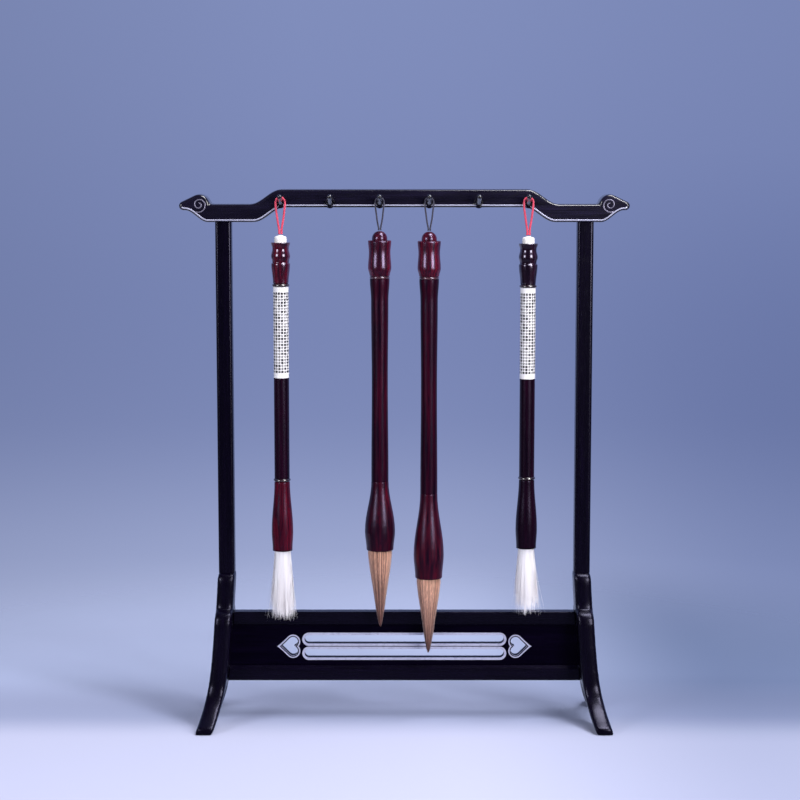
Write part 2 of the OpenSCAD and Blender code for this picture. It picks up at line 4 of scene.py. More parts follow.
import bpy
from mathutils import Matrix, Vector


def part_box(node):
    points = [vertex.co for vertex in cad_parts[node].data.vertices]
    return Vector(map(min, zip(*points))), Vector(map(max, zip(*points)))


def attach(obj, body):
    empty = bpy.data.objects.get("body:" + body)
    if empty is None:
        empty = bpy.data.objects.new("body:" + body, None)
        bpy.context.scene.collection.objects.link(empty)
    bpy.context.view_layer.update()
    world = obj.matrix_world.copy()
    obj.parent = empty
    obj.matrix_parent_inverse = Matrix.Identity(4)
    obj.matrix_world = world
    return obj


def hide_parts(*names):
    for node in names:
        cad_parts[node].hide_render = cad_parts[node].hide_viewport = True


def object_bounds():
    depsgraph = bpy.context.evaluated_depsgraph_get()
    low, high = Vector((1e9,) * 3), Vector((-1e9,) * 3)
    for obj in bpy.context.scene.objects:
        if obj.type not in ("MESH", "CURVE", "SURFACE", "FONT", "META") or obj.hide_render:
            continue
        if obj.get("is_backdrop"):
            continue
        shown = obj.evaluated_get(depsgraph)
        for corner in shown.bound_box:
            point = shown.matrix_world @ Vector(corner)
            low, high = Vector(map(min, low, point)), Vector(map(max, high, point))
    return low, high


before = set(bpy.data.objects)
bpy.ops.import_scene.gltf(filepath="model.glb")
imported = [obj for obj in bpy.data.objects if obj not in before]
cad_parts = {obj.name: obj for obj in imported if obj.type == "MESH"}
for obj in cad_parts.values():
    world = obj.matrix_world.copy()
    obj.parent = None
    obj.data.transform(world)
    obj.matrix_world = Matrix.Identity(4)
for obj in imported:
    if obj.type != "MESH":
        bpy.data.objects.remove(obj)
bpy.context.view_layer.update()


# Viewpoint: a long lens about 1.4 m in front of the rack and a little above it, tipped seven degrees down,
# so that the uprights stay nearly parallel and the tops of the feet just show.
MM = 0.001
scene = bpy.context.scene
scene.view_settings.view_transform = "Standard"
camera = bpy.data.objects.new("camera", bpy.data.cameras.new("camera"))
camera.data.sensor_width = 36
camera.data.lens = 91.3
camera.location = Vector((-3, -1389.6, 395.9)) * MM
camera.rotation_euler = (math.radians(83), 0, 0)
scene.collection.objects.link(camera)
scene.camera = camera


# Cord loops: each brush hangs on its peg by a doubled silk cord, laid from three plies. Both strands come out of
# the bead's bore, open round the peg and close over it. The pale brushes have rose red silk, the brown ones grey.
BAR_UNDERSIDE = 357.8
PEG_ABOVE = 2.4
PEG_TILT = 24
PEG_PITCH = 33.6
HANG_OUT = 3.2
HANG_Y = -12.2
HANG_Z = BAR_UNDERSIDE + PEG_ABOVE + HANG_OUT * math.tan(math.radians(PEG_TILT))
BRUSH_X = {1: -2.5 * PEG_PITCH, 2: -0.5 * PEG_PITCH, 3: 0.5 * PEG_PITCH, 4: 2.5 * PEG_PITCH}
PALE = (1, 4)
BEAD_DROP = {1: 25.8, 2: 24.7, 3: 25.1, 4: 26.5}
BEAD_TOP = {1: 3.7, 2: 5.2, 3: 5.2, 4: 3.7}
ABOVE_BEAD = 0.4
STRAND_GAP = 0.05
CORD_RADIUS = {1: 0.75, 2: 0.6, 3: 0.6, 4: 0.75}
CORD_SIDES = 18
PATH_STEPS = 6
PLIES = 3
PLY_DEPTH = 0.07
PLY_TWIST = 0.42
RED_BEND = [(0, 2.95), (1.55, 2.53), (2.68, 1.4), (3.1, -0.15), (3.05, -3.2), (2.6, -7.5), (1.9, -12), (1.2, -16.5),
            (0.8, -19.5)]
GREY_BEND = [(0, 2.8), (1.43, 2.42), (2.47, 1.38), (2.85, -0.05), (2.8, -3), (2.4, -7), (1.7, -12), (1, -16),
             (0.65, -18)]


def full_turn(sides):
    """The angles of a full turn in even steps."""
    return [2 * math.pi * k / sides for k in range(sides)]


def smooth_path(points, steps):
    """A finer line through the points, by Catmull and Rom's rule."""
    ends = [2 * points[0] - points[1], *points, 2 * points[-1] - points[-2]]
    line = []
    for a, b, c, d in zip(ends, ends[1:], ends[2:], ends[3:]):
        for k in range(steps):
            t = k / steps
            line.append(0.5 * (2 * b + (c - a) * t + (2 * a - 5 * b + 4 * c - d) * t * t
                               + (3 * b - a - 3 * c + d) * t ** 3))
    return line + [points[-1]]


def mesh_piece(name, vertices, faces, material, smooth=True):
    """A new object from vertices in metres, with one material."""
    mesh = bpy.data.meshes.new(name)
    mesh.from_pydata(vertices, [], faces)
    mesh.polygons.foreach_set("use_smooth", [smooth] * len(mesh.polygons))
    mesh.materials.append(material)
    piece = bpy.data.objects.new(name, mesh)
    scene.collection.objects.link(piece)
    return piece


def swept(line, section):
    """Vertices and faces of a closed section (a list of (side, up) for each step) swept along a line."""
    sides = len(section(0))
    vertices, faces = [], []
    for k, point in enumerate(line):
        along = (line[min(k + 1, len(line) - 1)] - line[max(k - 1, 0)]).normalized()
        up = Vector((0, 1, 0))
        side = along.cross(up)
        vertices += [point + side * s + up * u for s, u in section(k)]
    for k in range(len(line) - 1):
        for j in range(sides):
            a, b = k * sides + j, k * sides + (j + 1) % sides
            faces.append((a, b, b + sides, a + sides))
    faces += [tuple(range(sides - 1, -1, -1)), tuple(range((len(line) - 1) * sides, len(line) * sides))]
    return vertices, faces


def dress(material, *nodes):
    """Gives CAD nodes a material."""
    for node in nodes:
        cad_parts[node].material_slots[0].material = material


def add_node(tree, kind, inputs=(), **settings):
    """A shader node with its settings, its input values, and links where an input is another node's output."""
    made = tree.nodes.new(kind)
    for name, value in settings.items():
        setattr(made, name, value)
    for socket, value in dict(inputs).items():
        if isinstance(value, bpy.types.NodeSocket):
            tree.links.new(value, made.inputs[socket])
        else:
            made.inputs[socket].default_value = value
    return made


def on_piece(tree):
    """The place on the piece, in metres."""
    return add_node(tree, "ShaderNodeTexCoord").outputs["Object"]


def noise(tree, place, scale, detail, **more):
    """Soft noise over the surface."""
    inputs = {"Vector": place, "Scale": scale, "Detail": detail, **more}
    return add_node(tree, "ShaderNodeTexNoise", inputs).outputs["Fac"]


def blend(tree, share, first, second, **settings):
    """A mix of two colours by a share; each is a tuple of three linear levels or another node's output."""
    first, second = ((*colour, 1) if isinstance(colour, tuple) else colour for colour in (first, second))
    return add_node(tree, "ShaderNodeMix", {0: share, 6: first, 7: second}, data_type="RGBA", **settings).outputs[2]


def finish(name, **values):
    """A material with a Principled shader whose plain values are given, its node tree and that shader."""
    material = bpy.data.materials.new(name)
    material.use_nodes = True
    shader = material.node_tree.nodes["Principled BSDF"]
    for socket, value in values.items():
        shader.inputs[socket.replace("_", " ")].default_value = value
    return material, material.node_tree, shader


def silk(name, dark, light):
    """Twisted silk: fine bright fibres on a deeper colour, with a soft sheen."""
    material, tree, shader = finish(name, Roughness=0.55, Sheen_Weight=0.4, Sheen_Roughness=0.4)
    fibres = noise(tree, on_piece(tree), 2600.0, 3.0)
    bump = add_node(tree, "ShaderNodeBump", {"Height": fibres, "Strength": 0.4, "Distance": 0.0001})
    tree.links.new(blend(tree, fibres, dark, light), shader.inputs["Base Color"])
    tree.links.new(bump.outputs["Normal"], shader.inputs["Normal"])
    return material


rose_silk = silk("rose_silk", (0.46, 0.012, 0.045), (0.85, 0.075, 0.16))
grey_silk = silk("grey_silk", (0.009, 0.008, 0.020), (0.038, 0.034, 0.078))

for b in BRUSH_X:
    bend, cord_silk, cord_slot = (RED_BEND, rose_silk, "red_cord") if b in PALE else (GREY_BEND, grey_silk, "grey_cord")
    hang = Vector((BRUSH_X[b], HANG_Y, HANG_Z))
    route = [*bend, (CORD_RADIUS[b] + STRAND_GAP, BEAD_TOP[b] + ABOVE_BEAD - BEAD_DROP[b])]
    half = [hang + Vector((x, 0, z)) for x, z in route]
    other = [hang + Vector((-x, 0, z)) for x, z in reversed(route[1:])]
    line = [point * MM for point in smooth_path(other + half, PATH_STEPS)]
    radius = CORD_RADIUS[b] * MM

    def plies(k):
        ridges = [(a, radius * (1 - PLY_DEPTH + PLY_DEPTH * math.cos(PLIES * a + k * PLY_TWIST)))
                  for a in full_turn(CORD_SIDES)]
        return [(r * math.cos(a), r * math.sin(a)) for a, r in ridges]

    loop = mesh_piece(f"cord_loop_{b}", *swept(line, plies), cord_silk)
    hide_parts(f"brush_{b}_cord_loop")
    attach(loop, f"loop_{b}")
    dress(cord_silk, f"brush_{b}_cord_knot")


# Studio: a pale matt table top that fades into a blue-grey backdrop, both with painted shade towards the right. The
# table carries a painted shadow, a darker band just behind and under the rack. The backdrop is the world's colour,
# lighter towards the table. A large soft lamp stands on each side in front, one hangs high over the rack, and a small
# one high at the right draws the bright lines along the eased edges.
SKY_LOW, SKY_HIGH = -0.32, 0.08
BACKDROP = [(-0.31, (182, 191, 227)), (-0.235, (174, 184, 222)), (-0.195, (158, 169, 209)), (-0.13, (116, 129, 176)),
            (-0.02, (124, 137, 184)), (0.07, (129, 142, 188))]
# Painted shade: the colour multiplied into the backdrop at the right.
PAINTED_SHADE_BLUE = (0.575, 0.62, 0.72)
FILL_COLOUR = (0.80, 0.84, 1.0, 1)
FILL_STRENGTH = 0.30


def srgb(*levels):
    """A colour in linear light from 0 to 255 screen levels."""
    return tuple(((v / 255 + 0.055) / 1.055) ** 2.4 if v > 10 else v / 255 / 12.92 for v in levels)


def compute(tree, kind, *values):
    """One Math node, from numbers or sockets."""
    return add_node(tree, "ShaderNodeMath", dict(enumerate(values)), operation=kind).outputs[0]


def ranged(tree, value, low, high, start=0.0, end=1.0, smooth=False):
    """A value mapped to start at low and end at high, in a straight or a smooth run."""
    inputs = {"Value": value, "From Min": low, "From Max": high, "To Min": start, "To Max": end}
    run = "SMOOTHSTEP" if smooth else "LINEAR"
    return add_node(tree, "ShaderNodeMapRange", inputs, interpolation_type=run).outputs[0]


def axes_of(tree, place):
    """The X, Y and Z of a place."""
    return add_node(tree, "ShaderNodeSeparateXYZ", {0: place}).outputs


world = bpy.data.worlds.new("backdrop")
world.use_nodes = True
scene.world = world
tree = world.node_tree
tree.nodes.clear()
sight = axes_of(tree, add_node(tree, "ShaderNodeTexCoord").outputs["Generated"])
ramp = add_node(tree, "ShaderNodeValToRGB", {0: ranged(tree, sight["Z"], SKY_LOW, SKY_HIGH)})
while len(ramp.color_ramp.elements) < len(BACKDROP):
    ramp.color_ramp.elements.new(0.5)
ramp.color_ramp.interpolation = "B_SPLINE"
for stop, (z, colour) in zip(ramp.color_ramp.elements, BACKDROP):
    stop.position = (z - SKY_LOW) / (SKY_HIGH - SKY_LOW)
    stop.color = (*srgb(*colour), 1)
path = add_node(tree, "ShaderNodeLightPath").outputs
shows = compute(tree, "MAXIMUM", path["Is Camera Ray"], path["Is Glossy Ray"])
shows = compute(tree, "MAXIMUM", shows, path["Is Transmission Ray"])
# Painted shade: the backdrop is darkened towards the right, most towards the table, and a little towards the left.
right = ranged(tree, sight["X"], 0.0, 0.2, smooth=True)
low_down = ranged(tree, sight["Z"], 0.0, -0.22, 0.25, 1.0)
shaded = blend(tree, compute(tree, "MULTIPLY", right, low_down), ramp.outputs["Color"], PAINTED_SHADE_BLUE, blend_type="MULTIPLY")
behind = ranged(tree, sight["Y"], -0.1, 0.25, 0.06, 1.0)
left = ranged(tree, sight["X"], -0.05, -0.2, 1.0, 0.88)
strength = compute(tree, "MULTIPLY", compute(tree, "MAXIMUM", behind, path["Is Camera Ray"]), left)
seen = add_node(tree, "ShaderNodeBackground", {"Color": shaded, "Strength": strength})
fill = add_node(tree, "ShaderNodeBackground", {"Color": FILL_COLOUR, "Strength": FILL_STRENGTH})
mixed = add_node(tree, "ShaderNodeMixShader", {0: shows, 1: fill.outputs[0], 2: seen.outputs[0]})
add_node(tree, "ShaderNodeOutputWorld", {"Surface": mixed.outputs[0]})

NEAR_PAINT = srgb(199, 202, 230)
PAINTED_SHADOW = srgb(164, 172, 205)
FAR_PAINT = srgb(182, 192, 226)
# Painted shade: the colour multiplied into the table at the right.
PAINTED_SHADE_GREY = (0.565, 0.60, 0.65)
GLOW_SHARE = 0.1
MIRROR_LOSS = 0.88
TABLE_RADIUS = 0.65
TABLE_SIDES = 96
TABLE_DROP = 0.0002
table, tree, shader = finish("table_top", Roughness=0.7, Specular_IOR_Level=0.2)
place = on_piece(tree)
spot = axes_of(tree, place)
# Painted shadow: the table turns darker in a band just behind and under the rack, then lighter again further back.
paint = blend(tree, ranged(tree, spot["Y"], -0.05, 0.012, smooth=True), NEAR_PAINT, PAINTED_SHADOW)
paint = blend(tree, ranged(tree, spot["Y"], 0.03, 0.13, smooth=True), paint, FAR_PAINT)
# Painted shade: the table is multiplied darker towards the right, more strongly further back.
shade_depth = ranged(tree, spot["Y"], -0.06, 0.10, 0.78, 1.5)
right = ranged(tree, spot["X"], 0.02, 0.25, end=shade_depth, smooth=True)
paint = blend(tree, right, paint, PAINTED_SHADE_GREY, blend_type="MULTIPLY", clamp_factor=False)
tree.links.new(paint, shader.inputs["Base Color"])
path = add_node(tree, "ShaderNodeLightPath").outputs
glow = add_node(tree, "ShaderNodeEmission", {"Color": paint, "Strength": 1.0})
share = compute(tree, "MULTIPLY", path["Is Camera Ray"], GLOW_SHARE)
lit = add_node(tree, "ShaderNodeMixShader", {0: share, 1: shader.outputs[0], 2: glow.outputs[0]})
reach = add_node(tree, "ShaderNodeVectorMath", {0: place}, operation="LENGTH").outputs["Value"]
fade = compute(tree, "MAXIMUM", ranged(tree, reach, 0.30, 0.62, smooth=True),
               compute(tree, "MULTIPLY", path["Is Glossy Ray"], MIRROR_LOSS))
clear = add_node(tree, "ShaderNodeBsdfTransparent")
mixed = add_node(tree, "ShaderNodeMixShader", {0: fade, 1: lit.outputs[0], 2: clear.outputs[0]})
tree.links.new(mixed.outputs[0], tree.nodes["Material Output"].inputs["Surface"])
rim = [Vector((TABLE_RADIUS * math.cos(a), TABLE_RADIUS * math.sin(a), -TABLE_DROP)) for a in full_turn(TABLE_SIDES)]
mesh_piece("table_top", rim, [tuple(range(TABLE_SIDES))], table, smooth=False)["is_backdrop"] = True

LAMP_AIM = Vector((0, 0, 0.17))


def soft_lamp(name, azimuth, distance, height, size, power, colour):
    """An area lamp at an azimuth from the camera's side, aimed at the middle of the rack."""
    lamp = bpy.data.objects.new(name, bpy.data.lights.new(name, "AREA"))
    lamp.data.shape = "RECTANGLE"
    lamp.data.size, lamp.data.size_y = size
    lamp.data.energy = power
    lamp.data.color = colour
    a = math.radians(azimuth)
    lamp.location = (distance * math.sin(a), -distance * math.cos(a), height)
    lamp.rotation_euler = (LAMP_AIM - lamp.location).to_track_quat("-Z", "Y").to_euler()
    scene.collection.objects.link(lamp)


soft_lamp("right_lamp", azimuth=38, distance=1.3, height=0.52, size=(0.48, 0.58), power=11.6, colour=(1, 0.98, 0.97))
soft_lamp("left_lamp", azimuth=-46, distance=1.3, height=0.54, size=(0.40, 0.50), power=6.6, colour=(0.96, 0.97, 1))
soft_lamp("top_lamp", azimuth=60, distance=0.42, height=1.40, size=(0.60, 0.45), power=13, colour=(0.97, 0.97, 1))
soft_lamp("edge_lamp", azimuth=48, distance=1.05, height=1.40, size=(0.25, 0.25), power=7, colour=(0.97, 0.97, 1))


# Frame: posts, feet, rails and crossbar of close-grained hardwood, stained black and polished. Tenons hold them
# together, so only fine joint lines show. The long edges are eased by hand and the carved feet rounded with a rasp.
# The pegs are turned from the same wood, and the cords have worn them shiny.
def node_group(name, inputs, outputs):
    """A shader node group with named sockets, and its input and output nodes."""
    group = bpy.data.node_groups.new(name, "ShaderNodeTree")
    for socket, kind, value in inputs:
        made = group.interface.new_socket(socket, in_out="INPUT", socket_type=kind)
        if value is not None:
            made.default_value = value
    for socket, kind in outputs:
        group.interface.new_socket(socket, in_out="OUTPUT", socket_type=kind)
    return group, group.nodes.new("NodeGroupInput"), group.nodes.new("NodeGroupOutput")


PORE_DULL = 0.10
grain, given, result = node_group(
    "wood_grain",
    [("Place", "NodeSocketVector", None), ("Dark", "NodeSocketColor", None), ("Light", "NodeSocketColor", None),
     ("Gloss", "NodeSocketFloat", 0.3)],
    [("Colour", "NodeSocketColor"), ("Roughness", "NodeSocketFloat"), ("Height", "NodeSocketFloat")])
place = given.outputs["Place"]
streak = ranged(grain, noise(grain, place, 1.0, 5.0, Roughness=0.6, Distortion=0.5), 0.34, 0.68)
pore = ranged(grain, noise(grain, place, 4.5, 2.0), 0.28, 0.46)
band = ranged(grain, noise(grain, place, 0.22, 1.0), 0.36, 0.64, 0.25, 1.0)
tone = compute(grain, "MULTIPLY", compute(grain, "MULTIPLY", streak, pore), band)
dull = compute(grain, "MULTIPLY_ADD", pore, -PORE_DULL, given.outputs["Gloss"])
grain.links.new(blend(grain, tone, given.outputs["Dark"], given.outputs["Light"]), result.inputs["Colour"])
grain.links.new(compute(grain, "ADD", dull, PORE_DULL), result.inputs["Roughness"])
grain.links.new(pore, result.inputs["Height"])

COOL = (0.72, 0.70, 1.0)
PLAIN = (1, 1, 1)


def polished_wood(name, dark, light, gloss, level, along=30, across=700, axis="z", coat=0.0, bump=0.06, sheen=COOL):
    """Polished hardwood: streaks across, in marks per metre, are drawn out along the axis of the piece. Gloss is the
    roughness, level and sheen the strength and tint of the highlight, coat the weight of the lacquer."""
    material, tree, shader = finish(name, Coat_Weight=coat, Coat_Roughness=0.12, Specular_IOR_Level=level,
                                    Specular_Tint=(*sheen, 1))
    scale = [across] * 3
    scale["xyz".index(axis)] = along
    drawn = add_node(tree, "ShaderNodeMapping", {"Vector": on_piece(tree), "Scale": scale})
    wood = add_node(tree, "ShaderNodeGroup", node_tree=grain)
    tree.links.new(drawn.outputs[0], wood.inputs["Place"])
    wood.inputs["Dark"].default_value = (*dark, 1)
    wood.inputs["Light"].default_value = (*light, 1)
    wood.inputs["Gloss"].default_value = gloss
    relief = add_node(tree, "ShaderNodeBump", {"Height": wood.outputs["Height"], "Strength": bump, "Distance": 0.0001})
    tree.links.new(wood.outputs["Colour"], shader.inputs["Base Color"])
    tree.links.new(wood.outputs["Roughness"], shader.inputs["Roughness"])
    tree.links.new(relief.outputs["Normal"], shader.inputs["Normal"])
    return material


BLACK_DARK = (0.0008, 0.0002, 0.0030)
BLACK_LIGHT = (0.0026, 0.0010, 0.0080)
black = {axis: polished_wood(f"black_wood_{axis}", BLACK_DARK, BLACK_LIGHT, gloss=0.24, level=0.4, axis=axis)
         for axis in "xz"}
carved = polished_wood("carved_black_wood", BLACK_DARK, BLACK_LIGHT, gloss=0.26, level=0.3)
bar_wood = polished_wood("crossbar_wood", (0.0028, 0.0018, 0.0080), (0.0125, 0.0095, 0.0300), gloss=0.22, level=0.5,
                         axis="x", coat=0.6, sheen=PLAIN)
worn_peg = polished_wood("worn_peg_wood", (0.002, 0.0016, 0.005), (0.016, 0.015, 0.026), gloss=0.20, level=0.5,
                         along=60, across=1400, axis="y", coat=1.0, bump=0.1, sheen=PLAIN)
WELD = 0.00002
FLAT_WITHIN = 0.5
SHARP_OVER = 50


def sand(*nodes, grid, passes):
    """Rounds carved CAD nodes as a rasp and sanding do: an even mesh of a fine grid, smoothed in passes. Most of them
    go fore and aft, some also sideways, and a few all ways, so that the tops stay close under the posts."""
    for node in nodes:
        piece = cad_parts[node]
        piece.modifiers.new("weld", "WELD").merge_threshold = WELD
        even = piece.modifiers.new("even", "REMESH")
        even.mode = "VOXEL"
        even.voxel_size = grid * MM
        even.use_smooth_shade = True
        for name, share, sideways, upward in (("rounded", 0.6, False, False), ("eased", 0.35, True, False),
                                              ("sanded", 0.05, True, True)):
            sanded = piece.modifiers.new(name, "SMOOTH")
            sanded.factor = 0.5
            sanded.iterations = round(passes * share)
            sanded.use_x, sanded.use_z = sideways, upward


def ease_edges(*nodes, width):
    """Rounds the sharp long edges of CAD nodes by a small width."""
    for node in nodes:
        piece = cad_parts[node]
        piece.modifiers.new("weld", "WELD").merge_threshold = WELD
        flat = piece.modifiers.new("flat", "DECIMATE")
        flat.decimate_type = "DISSOLVE"
        flat.angle_limit = math.radians(FLAT_WITHIN)
        ease = piece.modifiers.new("ease", "BEVEL")
        ease.width = width * MM
        ease.segments = 3
        ease.limit_method = "ANGLE"
        ease.angle_limit = math.radians(SHARP_OVER)
        ease.use_clamp_overlap = False
        piece.modifiers.new("even", "WEIGHTED_NORMAL")


dress(black["z"], "left_post", "right_post")
dress(carved, "left_foot", "right_foot")
dress(bar_wood, "crossbar")
dress(black["x"], "top_rail", "bottom_rail")
dress(worn_peg, *[f"peg_{i}" for i in range(1, 7)])
sand("left_foot", "right_foot", grid=0.8, passes=150)
ease_edges("crossbar", width=1.9)
ease_edges("top_rail", "bottom_rail", width=0.6)


# Silver lines: a fine silver wire is let into both faces of the crossbar, along its underside from beak to beak and
# coiled in each cloud head. The raised bead round every opening of the panel is silvered in the same way. Inside the
# bead of each heart a strip of black wood is laid as painted shade, for the shadow on the opening's inner wall.
worn, given, result = node_group(
    "worn_silver", [("Place", "NodeSocketVector", None)],
    [("Colour", "NodeSocketColor"), ("Roughness", "NodeSocketFloat")])
tarnish = ranged(worn, noise(worn, given.outputs["Place"], 420.0, 4.0), 0.2, 0.5)
worn.links.new(blend(worn, tarnish, srgb(160, 160, 186), srgb(190, 191, 216)), result.inputs["Colour"])
worn.links.new(ranged(worn, tarnish, 0.0, 1.0, 0.5, 0.32), result.inputs["Roughness"])
SILVER_METAL = 0.35
COIL_METAL = 0.5
COIL_TINT = (0.42, 0.39, 0.42)


def worn_silver(tree):
    """The worn silver of a material, placed on its piece."""
    wire = add_node(tree, "ShaderNodeGroup", node_tree=worn)
    tree.links.new(on_piece(tree), wire.inputs["Place"])
    return wire.outputs


silver, tree, shader = finish("silver_wire", Metallic=SILVER_METAL)
wire = worn_silver(tree)
tree.links.new(wire["Colour"], shader.inputs["Base Color"])
tree.links.new(wire["Roughness"], shader.inputs["Roughness"])

dull_silver, tree, shader = finish("dull_silver_coil", Metallic=COIL_METAL)
wire = worn_silver(tree)
tree.links.new(blend(tree, 1.0, wire["Colour"], COIL_TINT, blend_type="MULTIPLY"), shader.inputs["Base Color"])
tree.links.new(wire["Roughness"], shader.inputs["Roughness"])

PANEL_LEVEL = 0.06
BEAD_RISE = (0.00262, 0.00275)
panel_wood = black["x"].copy()
panel_wood.name = "silvered_panel"
tree = panel_wood.node_tree
shader = tree.nodes["Principled BSDF"]
shader.inputs["Specular IOR Level"].default_value = PANEL_LEVEL
wood = next(node for node in tree.nodes if node.type == "GROUP" and node.node_tree == grain).outputs
wire = worn_silver(tree)
raised = ranged(tree, compute(tree, "ABSOLUTE", axes_of(tree, on_piece(tree))["Y"]), *BEAD_RISE)
dull = add_node(tree, "ShaderNodeMix", {0: raised, 2: wood["Roughness"], 3: wire["Roughness"]}).outputs[0]
tree.links.new(blend(tree, raised, wood["Colour"], wire["Colour"]), shader.inputs["Base Color"])
tree.links.new(dull, shader.inputs["Roughness"])
tree.links.new(compute(tree, "MULTIPLY", raised, SILVER_METAL), shader.inputs["Metallic"])
dress(panel_wood, "pierced_panel")

BAR_FACE = 9.0
SHOULDER = ((81, BAR_UNDERSIDE), (102.5, 347.8))
BEAK = ((133.5, 347.8), (149, 355.9))
BEAK_TIP = [(150.6, 356.1), (151.8, 356.9)]
BEND_STEPS = 14
SAME_POINT = 0.05
LINE_UP = 1.5
DOME = (139.3, 359.6)
COIL_STEPS = 36
COIL_BEGINS = 0.08
COIL_ANGLE, COIL_SWEEP = -170, 620
COIL_RADIUS, COIL_SHRINK, COIL_EASE = 6.0, 5.0, 0.8
LINE_WIDTH, COIL_WIDTH, SHADE_WIDTH = 0.95, 0.8, 0.7
WIRE_RISE = 0.14
WIRE_SIDES = 10


def s_curve(start, end):
    """Points of a half-cosine bend between two points of the crossbar's outline."""
    return [(start[0] + (end[0] - start[0]) * k / BEND_STEPS,
             start[1] + (end[1] - start[1]) * (1 - math.cos(math.pi * k / BEND_STEPS)) / 2)
            for k in range(BEND_STEPS + 1)]


def lifted(outline, up):
    """The same line moved square to itself, towards the inside of the crossbar."""
    moved = []
    for k, (x, z) in enumerate(outline):
        x0, z0 = outline[max(k - 1, 0)]
        x1, z1 = outline[min(k + 1, len(outline) - 1)]
        run = math.hypot(x1 - x0, z1 - z0)
        moved.append((x - up * (z1 - z0) / run, z + up * (x1 - x0) / run))
    return moved


def flat_wire(name, route, depth, width, material):
    """A flush wire of rounded section laid along a route of (x, z) on a face at a depth from the middle plane."""
    line = [Vector((x, depth, z)) * MM for x, z in route]
    section = [(width / 2 * MM * math.cos(a), WIRE_RISE * MM * math.sin(a)) for a in full_turn(WIRE_SIDES)]
    made = mesh_piece(name, *swept(line, lambda k: section), material)
    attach(made, "rack")


half = [*s_curve(*SHOULDER), *s_curve(*BEAK), *BEAK_TIP]
underside = [(-x, z) for x, z in reversed(half)] + half
underside = [underside[0], *[p for p, q in zip(underside[1:], underside) if math.dist(p, q) > SAME_POINT]]
coil = []
for k in range(COIL_STEPS + 1):
    t = COIL_BEGINS + (1 - COIL_BEGINS) * k / COIL_STEPS
    a = math.radians(COIL_ANGLE + COIL_SWEEP * t)
    r = COIL_RADIUS - COIL_SHRINK * t ** COIL_EASE
    coil.append((r * math.cos(a), r * math.sin(a)))
for face, side in ((-1, "front"), (1, "back")):
    flat_wire(f"underside_line_{side}", lifted(underside, LINE_UP), face * BAR_FACE, LINE_WIDTH, silver)
    for hand, end in ((-1, "left"), (1, "right")):
        route = [(hand * (DOME[0] - x), DOME[1] + z) for x, z in coil]
        flat_wire(f"cloud_coil_{end}_{side}", route, face * BAR_FACE, COIL_WIDTH, dull_silver)

HEART_X, LOBE, LOBE_OFFSET, POINT, SPIRE, BEAD = 77.7, 3.4, 3.3, 8.1, 3.1, 1.6
LOBE_STEPS, FLANK_STEPS = 20, 10
SPIRE_PULL = 0.4
BEAD_FACE = 3.3
SHADE = 0.4
ORNAMENT_DROP = 1
low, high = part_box("pierced_panel")
ORNAMENT_Z = (low[2] + high[2]) / 2 / MM - ORNAMENT_DROP


def heart(grow):
    """The outline of a heart opening that points along +X, grown by an even margin."""
    r = LOBE + grow
    cleft = math.pi + math.asin(min(1, LOBE_OFFSET / r))
    lobe = [(r * math.cos(a), LOBE_OFFSET + r * math.sin(a))
            for a in (cleft + (math.pi / 4 - cleft) * k / LOBE_STEPS for k in range(LOBE_STEPS + 1))]
    (x0, z0), tip = lobe[-1], POINT + SPIRE * grow / BEAD
    x1, z1 = x0 + z0 - SPIRE_PULL, SPIRE_PULL
    flank = [((1 - t) ** 2 * x0 + 2 * t * (1 - t) * x1 + t * t * tip, (1 - t) ** 2 * z0 + 2 * t * (1 - t) * z1)
             for t in (k / FLANK_STEPS for k in range(1, FLANK_STEPS + 1))]
    upper = lobe + flank
    return upper + [(x, -z) for x, z in reversed(upper[:-1])]


# Painted shade: a black strip inside the bead of each heart, on both faces, for the shadow on the opening's inner wall.
for face, side in ((-1, "front"), (1, "back")):
    for hand, end in ((-1, "left"), (1, "right")):
        route = [(hand * (HEART_X + x), ORNAMENT_Z + z) for x, z in heart(SHADE)]
        flat_wire(f"heart_painted_shade_{end}_{side}", route, face * BEAD_FACE, SHADE_WIDTH, black["x"])


# Turned wood of the brushes: red-brown hardwood on the two brown brushes and on cap and ferrule of the first pale
# one, nearly black on the fourth brush and on both pale brushes' shafts. Caps and rings have a higher polish than
# shafts and ferrules. Each piece is turned, glued on the next, and its rim is eased.
BROWN = (2, 3)
LILAC = (0.74, 0.64, 1.0)
TURNED = {"bump": 0.05, "sheen": LILAC}
RING = {"along": 60, "axis": "x", "coat": 1.0}
cap_wood = polished_wood("cap_wood", (0.008, 0.0006, 0.0060), (0.170, 0.0050, 0.0180), gloss=0.24, level=0.90,
                         along=28, across=600, **TURNED)
ring_wood = polished_wood("ring_wood", (0.030, 0.008, 0.014), (0.20, 0.09, 0.11), gloss=0.22, level=0.6,
                          **RING, **TURNED)
bell_wood = polished_wood("bell_wood", (0.004, 0.0004, 0.0050), (0.086, 0.0020, 0.0100), gloss=0.28, level=0.38,
                          along=24, across=500, **TURNED)
shaft_wood = polished_wood("shaft_wood", (0.003, 0.0004, 0.0045), (0.043, 0.0014, 0.0100), gloss=0.28, level=0.22,
                           along=24, across=500, **TURNED)
dark_cap = polished_wood("dark_cap", (0.004, 0.0010, 0.0050), (0.026, 0.0070, 0.0190), gloss=0.18, level=0.8,
                         along=28, across=800, coat=1.0, **TURNED)
red_cap = polished_wood("red_cap", (0.010, 0.0008, 0.0060), (0.160, 0.0050, 0.0180), gloss=0.20, level=0.8,
                        along=28, across=600, coat=1.0, **TURNED)
red_wood = polished_wood("red_wood", (0.008, 0.0006, 0.0050), (0.120, 0.0030, 0.0130), gloss=0.26, level=0.35,
                         along=24, across=500, **TURNED)
